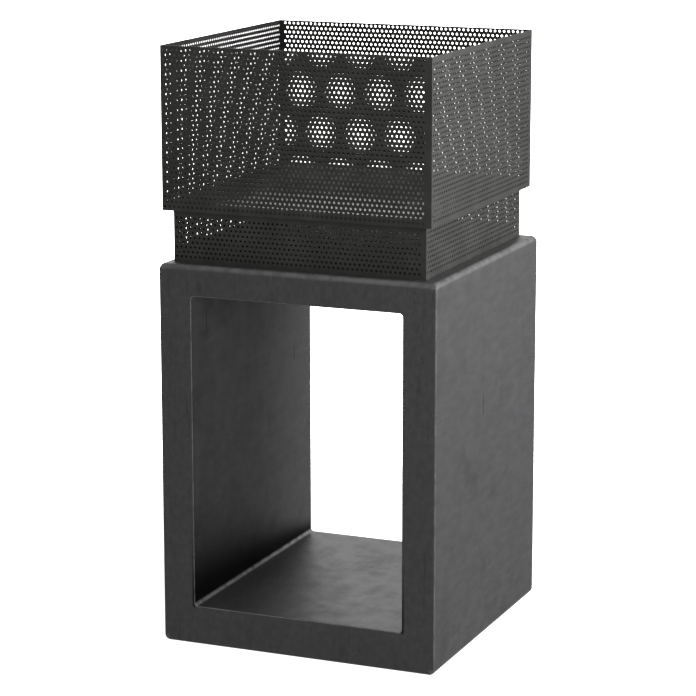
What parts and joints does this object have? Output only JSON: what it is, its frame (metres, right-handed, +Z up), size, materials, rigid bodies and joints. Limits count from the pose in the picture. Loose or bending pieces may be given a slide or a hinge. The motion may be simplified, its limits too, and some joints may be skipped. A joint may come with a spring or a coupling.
{
  "type": "fire basket on pedestal",
  "caption": "Square two-step fire basket of perforated black steel with a loose grate and ash tray, standing on a cast stone frame open front to back for logs.",
  "frame": {"origin": "on the ground, in the middle of the pedestal's footprint", "axes": "+Z up; -Y is the front and +Y the back, the two ends of the log opening; +X to the right seen from the front"},
  "size_m": [0.356, 0.356, 0.731],
  "materials": {
    "cast_stone": "smooth matt cast with faint mottling",
    "black_steel": "satin powder coat"
  },
  "bodies": {
    "pedestal": {"pedestal": "cast_stone"},
    "basket": {"base_plate": "black_steel", "lower_front_panel": "black_steel", "lower_back_panel": "black_steel", "lower_left_panel": "black_steel", "lower_right_panel": "black_steel", "step_ledge": "black_steel", "upper_front_panel": "black_steel", "upper_back_panel": "black_steel", "upper_left_panel": "black_steel", "upper_right_panel": "black_steel"},
    "grate": {"fire_grate": "black_steel"},
    "tray": {"ash_tray": "black_steel"}
  },
  "joints": [
    {"name": "basket_lift", "type": "slide", "parent": "pedestal", "child": "basket", "axis": [0, 0, 1], "range_m": [0, 0.3]},
    {"name": "grate_lift", "type": "slide", "parent": "basket", "child": "grate", "axis": [0, 0, 1], "range_m": [0, 0.36]},
    {"name": "tray_lift", "type": "slide", "parent": "basket", "child": "tray", "axis": [0, 0, 1], "range_m": [0, 0.29]}
  ],
  "couplings": [
    {"joint": "tray_lift", "follows": "grate_lift", "ratio": 0.8}
  ]
}
